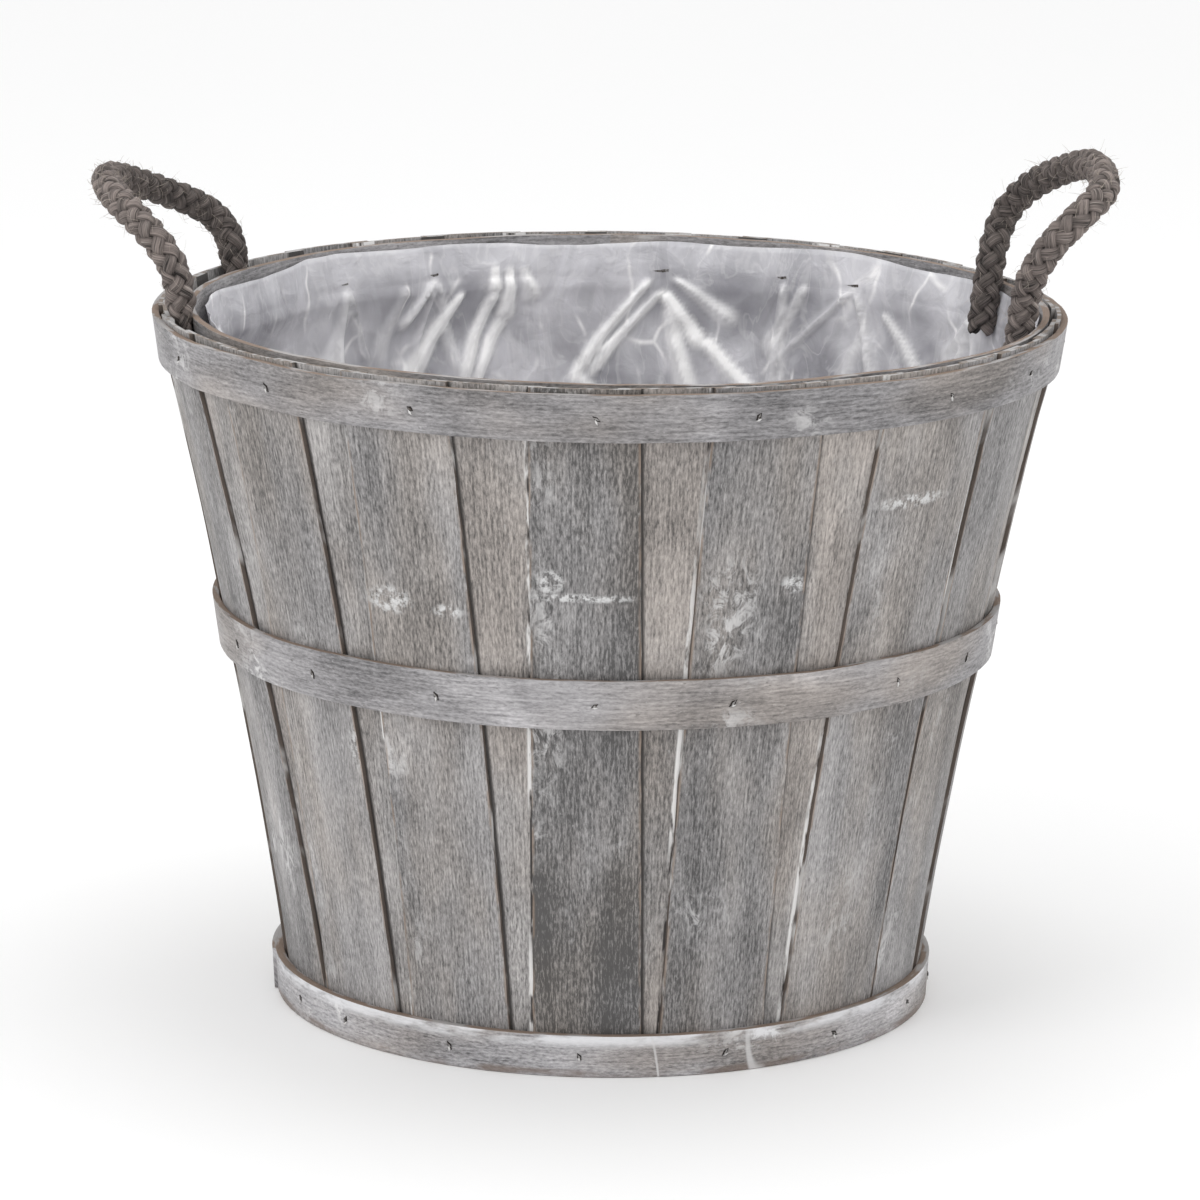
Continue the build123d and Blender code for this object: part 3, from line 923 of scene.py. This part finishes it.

# %% The film's creases
# Creases seen on the back wall, in millimetres: across and up at the start and at the end,
# half width at each, depth, and brightness of the painted highlight from 0 to 1
back_creases = [
    (-61, 242, -81, 207, 1.8, 4.4, 3.0, 1.0), (-49, 252, -49, 240, 1.5, 3.0, 2.0, 0.9),
    (-48, 242, -61, 202, 2.4, 2.8, 3.0, 0.9), (-43, 251, -43, 228, 1.2, 4.0, 3.0, 1.0),
    (-43, 231, -57, 199, 2.8, 1.8, 2.0, 0.9), (-38, 251, -33, 236, 1.5, 3.8, 2.0, 0.6),
    (13, 246, -17, 203, 1.6, 2.6, 3.0, 0.95), (19, 242, -10, 205, 1.6, 2.4, 2.5, 0.8),
    (-15, 208, -3, 194, 3.0, 4.5, 2.0, 0.6), (18, 240, 38, 218, 2.6, 3.2, 3.0, 1.0),
    (37, 222, 62, 198, 2.8, 3.6, 2.5, 0.9), (21, 236, 34, 196, 2.8, 5.0, 2.5, 0.7),
    (22, 246, 50, 228, 1.5, 4.2, 2.0, 0.5), (74, 247, 62, 218, 1.6, 4.0, 2.0, 0.4),
    (-84, 246, -92, 214, 1.6, 4.0, 2.0, 0.3), (-104, 240, -116, 206, 2.0, 5.0, 2.0, 0.35),
    (104, 240, 124, 214, 2.0, 4.0, 2.0, 0.5), (98, 236, 92, 204, 2.0, 4.0, 2.0, 0.3),
]
creases = []
for across, height, end_across, end_height, *rest in back_creases:
    start = (math.pi - math.asin(across * MM / neck_radius)) * neck_radius
    end = (math.pi - math.asin(end_across * MM / neck_radius)) * neck_radius
    width, end_width, depth, bright = rest
    widths = (width * 1.25, end_width * 1.35)
    creases.append((start, height * MM, end, end_height * MM, *widths, depth, bright))
for staple in staple_angles:
    for _ in range(3):
        start = math.radians(staple) * neck_radius
        lean = rng.uniform(-0.8, 0.8)
        reach = rng.uniform(25, 110) * MM
        end = start + reach * math.sin(lean)
        end_height = staple_height - reach * math.cos(lean)
        depth = rng.uniform(1.5, 4.0)
        bright = rng.uniform(0.15, 0.5)
        end_width = rng.uniform(3, 6)
        creases.append((start, staple_height, end, end_height, 1.4, end_width, depth, bright))
for _ in range(40):
    start = rng.uniform(-math.pi, math.pi) * neck_radius
    height = rng.uniform(60, 215) * MM
    end = start + rng.uniform(-35, 35) * MM
    end_height = height - rng.uniform(15, 60) * MM
    depth = rng.uniform(1, 3)
    bright = rng.uniform(0.2, 0.6)
    creases.append((start, height, end, end_height, 2.0, 4.0, depth, bright))


def crease_field(angles, heights):
    """How far each place is pushed in by the creases, and how bright the painted highlight on a
    crease's lit flank is there.
    """
    push = np.zeros(len(angles))
    pale = np.zeros(len(angles))
    around = math.tau * neck_radius
    for start, top, end, low, width, end_width, depth, bright in creases:
        across = (angles * neck_radius - start + around / 2) % around - around / 2
        span = end - start
        reach = math.hypot(span, low - top)
        share = (across * span + (heights - top) * (low - top)) / reach**2
        away = (across * (low - top) - (heights - top) * span) / reach
        half = (width + (end_width - width) * np.clip(share, 0, 1)) * MM
        side = away / half
        ends = ramp(share, 0, 0.08) * ramp(share, 1, 0.82)
        flank = np.clip(1 - np.abs(side), 0, 1) * ends
        push = np.maximum(push, flank * depth * MM)
        # Painted highlight: one flank of each crease is lit, the other less.
        lit = np.clip(flank * 2.2, 0, 1) * np.where(side < 0, 0.6, 1)
        pale = np.maximum(pale, lit * bright)
    return push, pale


print("creases:", len(creases))


# %% The film's shape
def film_line(share, angle):
    """Height and radius of the film from its upper edge (0) to its bottom's middle (1)."""
    edge = film_edge + (0.8 * np.sin(angle * 5 + 1) + 0.6 * np.sin(angle * 13)) * MM
    part = ramp(share, hem_share, wall_share) ** row_crowding
    hem_foot = staple_height - 2 * MM
    in_hem = ramp(share, 0, hem_share)
    in_wall = hem_foot + (film_low - hem_foot) * part
    height = np.where(share < hem_share, edge + (hem_foot - edge) * in_hem, in_wall)
    wall = np.interp(height, inside_heights, inside_radii) - film_gap
    leaned = neck_radius + np.clip(height - staple_height, 0, None) * wall_lean * 1.6
    low = neck_height - 16 * MM
    drawn_in = ramp(height, low, neck_height)
    radius = wall * (1 - drawn_in) + np.minimum(leaned, wall) * drawn_in
    middle = ramp(share, wall_share, 1)
    return height, radius * (1 - middle)


def round_points(radii, angles, heights):
    """Points at these distances from the axis, angles and heights."""
    return np.stack([radii * np.sin(angles), -radii * np.cos(angles), heights], axis=1)


def make_liner():
    """The creased bag, rolled from a grid."""
    piece = rolled_grid("film_liner", film_rows, film_columns)
    points = corners_of(piece)
    share = points[:, 0] + 0.5
    turn = points[:, 1] * math.tau
    angles = math.pi + turn - column_crowding * np.sin(turn)
    heights, radii = film_line(share, angles)
    push, pale = crease_field(angles, heights)
    wall = ramp(share, wall_share, wall_share - 0.05) * ramp(share, hem_share, hem_share + 0.05)
    shape = round_points(radii, angles, heights)
    crumple = np.abs(smooth_noise(shape, 24, 3)) * 3.2 * MM
    crumple = crumple + np.abs(smooth_noise(shape, 70, 6)) * 1.4 * MM
    below_neck = np.clip((neck_height + 8 * MM - heights) / (18 * MM), 0.1, 1)
    high = ramp(heights, neck_height - 20 * MM, neck_height)
    loose = 0
    for sag_angle, sag_width, sag in film_sags:
        loose = loose + sag * np.exp(-((turned(angles, math.radians(sag_angle)) / sag_width) ** 2))
    staples = np.radians([*staple_angles, back_staple_angle])
    from_staple = np.abs(turned(angles[:, None], staples)).min(axis=1) * neck_radius
    unheld = 1 - np.exp(-((from_staple / (7 * MM)) ** 2))
    hem_folds = np.abs(smooth_noise(shape * np.array([1, 1, 0.6]), 45, 12)) * 3.0 * MM
    hem_folds = hem_folds * high * unheld
    radii = radii - (push + crumple * below_neck) * wall - loose * MM * high - hem_folds
    points = round_points(radii, angles, heights)
    points[:, 0] += neck_centre * high
    flat_part = share > wall_share
    points[flat_part, 2] += np.abs(smooth_noise(points[flat_part], 18, 8)) * 2.0 * MM
    put_corners(piece, points)
    # The painted highlight along the creases, faded out in the hem.
    give_value(piece, "crease_highlight", pale * ramp(share, hem_share * 0.5, hem_share * 0.5 + 0.02))
    give_value(piece, "hem", ramp(heights, staple_height - 5 * MM, staple_height + 5 * MM))
    weld(piece, film_weld_distance)
    face_outward()
    sheet = piece.modifiers.new("film", "SOLIDIFY")
    sheet.thickness = film_thickness
    sheet.offset = 0
    bpy.ops.object.modifier_apply(modifier="film")
    bpy.ops.object.shade_smooth()
    return piece


# %% The film's finish
def place_bent(finish, place):
    """A place pushed about by noise, stretched so that the film's facets hang down."""
    push = finish.node("TexNoise", {}, {"Vector": place, "Scale": 30.0, "Detail": 2.0}, 1)
    pushed = finish.node("VectorMath", {"operation": "SCALE"}, {0: push, "Scale": 0.02})
    moved = finish.node("VectorMath", {"operation": "ADD"}, {0: place, 1: pushed})
    return finish.stretched(moved, (46, 46, 26))


def film():
    """Thin milky film: clearer where flat, whiter in its hem, with painted highlights and glints along
    its creases and ridges and painted sheen on its facets.
    """
    finish = Finish("liner_film")
    place = finish.place()
    crease_sheen = finish.attribute("crease_highlight")
    hem = finish.attribute("hem")
    soft = finish.noise(place, scale=24, distortion=0.5)
    folds = finish.noise(finish.stretched(place, (60, 60, 22)), distortion=1.5)
    glint = (folds - 0.5).size().step(0.035, 0.0)
    bent = place_bent(finish, place)
    cells = {"Vector": bent, "Scale": 1.0}
    facets = finish.node("TexVoronoi", {}, cells, "Distance")
    edges = finish.node("TexVoronoi", {"feature": "DISTANCE_TO_EDGE"}, cells)
    broken = finish.noise(place, scale=48, detail=2.0)
    # Painted highlight: pale lines along the facets' ridges.
    ridge_highlight = edges.step(0.055, 0.0) * broken.step(0.50, 0.66)
    finish.colour = finish.mix(soft.step(0.35, 0.68), (0.44, 0.435, 0.47), (0.80, 0.79, 0.83))
    # Painted sheen: the facets grow paler towards their edges.
    finish.coat(facets.step(0.25, 0.95) * 0.6, (0.95, 0.94, 0.97))
    finish.coat(hem * 0.45, (0.86, 0.855, 0.89))
    finish.coat(glint * 0.30, (0.96, 0.95, 0.96))
    finish.coat(ridge_highlight * 0.8, (1.0, 0.985, 0.98))
    # Painted highlight along the creases' lit flanks.
    finish.coat((crease_sheen * 1.5).at_most(1.0), (1.0, 0.99, 0.985))
    milk = 0.60 + (folds - 0.5) * 0.5 + crease_sheen * 0.5 + ridge_highlight * 0.25
    milk = milk + hem * 0.12 + (facets - 0.5) * 0.16
    wrinkles = finish.noise(place, scale=110, distortion=0.8) * 0.35 + facets
    return finish.set(
        alpha=milk.at_most(0.98),
        roughness=0.20 + soft * 0.12,
        normal=finish.bump(wrinkles, 0.004, 0.6),
    )


liner = make_liner()
dress(liner, film())
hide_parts("plastic_liner")
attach(liner, "basket")
print("liner:", len(liner.data.polygons), "faces")

# %% [markdown]
# ## Rope handles
# Each handle is one rope of plant fibre, braided round from eight strands: four wind one
# way and four the other, and each passes over and under those that it meets. Sine waves
# give that exactly, where a modelled length of braid would be hard to bend. The rope's
# line is a NURBS curve through listed points. Its ends go down inside the rim; at
# the left they are squeezed flat between the staves and the inner hoop. Stray fibres
# stand off it.

# %% The ropes' routes
rope_diameter = 12 * MM
rope_points = 420
strand_sides = 8
braid_pitch = 29 * MM
strands_each_way = 4
strand_half_width = 2.35 * MM
strand_half_height = 1.5 * MM
strand_depth = 2.3 * MM
weave_rise = 0.8 * MM
fibre_count = 420

# The loops' points from the middle between the feet, in millimetres: across, back and up
left_corners = [
    (-9, -54, 13), (-20, -48, 26), (-33, -28, 34), (-39, -1, 37),
    (-32, 24, 32), (-18, 42, 24), (-5, 54, 17), (3, 57, 9),
]
right_corners = [
    (6, -47, 12), (13, -53, 25), (24, -52, 36), (33, -39, 42),
    (34, -16, 46), (30, 8, 46), (20, 29, 39), (10, 46, 30),
    (1, 52, 18),
]
hinges = {joint["child"]: Vector(joint["pos_m"]) for joint in frame["joints"]}
hinge_height = hinges["left_handle"].z


def end_line(node):
    """The middle of a rope end at its top and at its bottom."""
    points = corners_of(nodes[node])
    top, low = points[:, 2].max(), points[:, 2].min()
    ends = (points[points[:, 2] > top - 1 * MM], points[points[:, 2] < low + 4 * MM])
    return [Vector((end.min(axis=0) + end.max(axis=0)) / 2) for end in ends]


def rope_route(side, corners):
    """The rope's points in metres, from its front end to its back end."""
    front_top, front_low = end_line(f"rope_end_{side}_front")
    back_top, back_low = end_line(f"rope_end_{side}_back")
    middle = hinges[f"{side}_handle"]
    front_foot = Vector((front_top.x, front_top.y, hinge_height))
    back_foot = Vector((back_top.x, back_top.y, hinge_height))
    steps = [middle + Vector(corner) * MM for corner in corners]
    return [front_low, front_foot, *steps, back_foot, back_low]


def route_line(name, route):
    """Even points along the NURBS curve through the route, and its length."""
    curve = bpy.data.curves.new(name, "CURVE")
    curve.dimensions = "3D"
    curve.resolution_u = 24
    spline = curve.splines.new("NURBS")
    spline.points.add(len(route) - 1)
    for point, place in zip(spline.points, route):
        point.co = (*place, 1)
    spline.order_u = 3
    spline.use_endpoint_u = True
    holder = add_object(name, curve)
    bpy.context.view_layer.update()
    mesh = bpy.data.meshes.new_from_object(holder)
    line = np.array([corner.co for corner in mesh.vertices])
    bpy.data.objects.remove(holder)
    lengths = np.concatenate([[0], np.cumsum(np.linalg.norm(np.diff(line, axis=0), axis=1))])
    even = np.linspace(0, lengths[-1], rope_points)
    spread = np.stack([np.interp(even, lengths, line[:, axis]) for axis in range(3)], axis=1)
    return spread, float(lengths[-1])


# %% Strands
def line_frames(line):
    """The direction of a line at each point, and two directions square to it without twist."""
    ahead = np.gradient(line, axis=0)
    ahead /= np.linalg.norm(ahead, axis=1)[:, None]
    first = np.cross(ahead[0], (0.0, 1.0, 0.0))
    first /= np.linalg.norm(first)
    sides = [first]
    for direction in ahead[1:]:
        side = sides[-1] - direction * (sides[-1] @ direction)
        sides.append(side / np.linalg.norm(side))
    sides = np.array(sides)
    return ahead, sides, np.cross(ahead, sides)


def squeeze(offsets, line, flat):
    """Presses a rope's section flat towards the wall where it goes below the rim."""
    if not flat:
        return offsets
    depth = ramp(line[:, 2], rim_height + 5 * MM, rim_height - 4 * MM)
    out = outward_of(line)
    across = (offsets * out).sum(axis=1)
    flatter = out * (across * depth * 0.47)[:, None]
    wider = (offsets - out * across[:, None]) * (depth * 0.18)[:, None]
    return offsets - flatter + wider


def make_strand(name, line, frames, length, way, phase, flat):
    """One strand of the braid as a tube, over and under the strands that it crosses."""
    piece = rolled_grid(name, rope_points - 1, strand_sides)
    points = corners_of(piece)
    step = np.rint((points[:, 0] + 0.5) * (rope_points - 1)).astype(int)
    round_share = points[:, 1] + 0.5
    along = np.linspace(0, length, rope_points)
    turn = way * math.tau * along / braid_pitch + phase
    crossings = 2 * strands_each_way * math.pi * along / braid_pitch
    weave = np.cos(crossings + (0 if way > 0 else math.pi))
    lift = rope_diameter / 2 - strand_depth + weave * weave_rise
    ahead, side, up = frames
    centre_way = side * np.cos(turn)[:, None] + up * np.sin(turn)[:, None]
    round_way = -side * np.sin(turn)[:, None] + up * np.cos(turn)[:, None]
    tangent = ahead + round_way * (way * math.tau * lift / braid_pitch)[:, None]
    tangent /= np.linalg.norm(tangent, axis=1)[:, None]
    wide_way = np.cross(centre_way, tangent)
    yarn = 1 + 0.07 * np.sin(along / (1.7 * MM) + phase * 3)
    turn_round = round_share * math.tau
    wide = strand_half_width * yarn[step]
    tall = strand_half_height * yarn[step]
    offset = (
        centre_way[step] * (lift[step] + tall * np.sin(turn_round))[:, None]
        + wide_way[step] * (wide * np.cos(turn_round))[:, None]
    )
    give_value(piece, "outward", np.linalg.norm(offset, axis=1) / (rope_diameter / 2))
    offset = squeeze(offset, line[step], flat)
    put_corners(piece, line[step] + offset)
    give_rope_map(piece, step, round_share, along, way, phase)
    return piece


def give_rope_map(piece, step, round_share, along, way, phase):
    """The fibre map: x runs along the strand and y round it."""
    layer = piece.data.uv_layers.new(name="fibre")
    loops = np.empty(len(piece.data.loops), np.int32)
    piece.data.loops.foreach_get("vertex_index", loops)
    around = round_share[loops] * 11 * MM + way * 0.05
    flat = np.stack([along[step[loops]] + phase, around], axis=1)
    layer.data.foreach_set("uv", flat.astype(np.float32).ravel())


def close_ends(piece):
    """Merges the rolled grid's seam and fills its two ends."""
    weld(piece)
    select_faces("DESELECT")
    bpy.ops.mesh.select_non_manifold()
    bpy.ops.mesh.edge_face_add()
    face_outward()


def join(pieces, name):
    """Joins pieces into one object."""
    deselect_all()
    for piece in pieces:
        piece.select_set(True)
    bpy.context.view_layer.objects.active = pieces[0]
    bpy.ops.object.join()
    joined = bpy.context.object
    joined.name = name
    joined.data.name = name
    return joined


# %% Stray fibres and the rope's finish
def make_fibres(name, line, frames, seed):
    """Stray fibres: thin bent hairs that leave the rope's surface."""
    draw = np.random.default_rng(seed)
    ahead, side, up = frames
    made = bmesh.new()
    for _ in range(fibre_count):
        place = int(draw.integers(20, rope_points - 20))
        turn = draw.uniform(0, math.tau)
        out = side[place] * math.cos(turn) + up[place] * math.sin(turn)
        sweep = ahead[place] * draw.uniform(-1, 1)
        sweep = sweep + np.cross(ahead[place], out) * draw.uniform(-1, 1)
        start = line[place] + out * (rope_diameter / 2 - 1.2 * MM)
        reach = draw.uniform(1.5, 6.5) * MM
        thick = draw.uniform(0.07, 0.12) * MM
        bend = draw.uniform(0.15, 0.8)
        rings = []
        for share in (0.0, 0.35, 0.7, 1.0):
            gone = reach * share
            middle = start + out * gone * (1 - bend * share) + sweep * gone * 0.9
            ring = []
            for corner in range(3):
                spin = corner * math.tau / 3
                around = side[place] * math.cos(spin) + up[place] * math.sin(spin)
                ring.append(made.verts.new(middle + around * thick * (1 - 0.7 * share)))
            rings.append(ring)
        skin(made, rings)
    mesh = bpy.data.meshes.new(name)
    made.to_mesh(mesh)
    made.free()
    return add_object(name, mesh)


def rope_fibre():
    """Grey-brown plant fibre: fine threads along each strand, with painted shade between the strands
    and on the rope's back part.
    """
    finish = Finish("rope_fibre", "fibre")
    fine = finish.streaks(160, 2600, roughness=0.7)
    broad = finish.streaks(70, 620, (3, 1), detail=2.0)
    back = finish.axis(1)
    outward = finish.attribute("outward")
    light = 0.62 + (fine - 0.5) * 2.2 + (broad - 0.5) * 2.0
    # Painted shade: darker where the strand's surface lies deep between the strands.
    light = light * (0.15 + outward.step(0.52, 0.98) * 1.15)
    # Painted shade: the rope towards the back is made darker.
    light = light.at_least(0.06) * (1.0 - back.step(-0.02, 0.06) * 0.42)
    finish.colour = finish.shade((0.225, 0.188, 0.172), light)
    pale = finish.streaks(90, 3200, (5, 5), detail=2.0).step(0.60, 0.70)
    finish.coat(pale * light * 0.7, (0.55, 0.50, 0.46))
    bump = finish.bump(fine * 0.7 + broad * 0.5, 0.0008)
    return finish.set(roughness=0.9, normal=bump)


# %% Both ropes
rope_finish = rope_fibre()
stray_finish = plain("stray_fibre", (0.40, 0.35, 0.30), 0.8)
for side, corners, flat, stray_seed in (
    ("left", left_corners, True, 21),
    ("right", right_corners, False, 22),
):
    route = rope_route(side, corners)
    line, length = route_line(f"route_{side}", route)
    frames = line_frames(line)
    strands = []
    for number in range(strands_each_way):
        phase = number * math.tau / strands_each_way
        for way in (1, -1):
            name = f"strand_{side}_{number}_{way}"
            strand = make_strand(name, line, frames, length, way, phase, flat)
            close_ends(strand)
            strands.append(strand)
    rope = join(strands, f"rope_{side}")
    rope.data.materials.clear()
    dress(rope, rope_finish)
    for face in rope.data.polygons:
        face.use_smooth = True
    fibres = make_fibres(f"stray_fibres_{side}", line, frames, stray_seed)
    dress(fibres, stray_finish)
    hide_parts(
        f"rope_handle_{side}", f"rope_end_{side}_front", f"rope_end_{side}_back"
    )
    for piece in (rope, fibres):
        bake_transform(piece)
    print("rope", side, "length", round(length / MM), "mm,", len(rope.data.polygons), "faces")
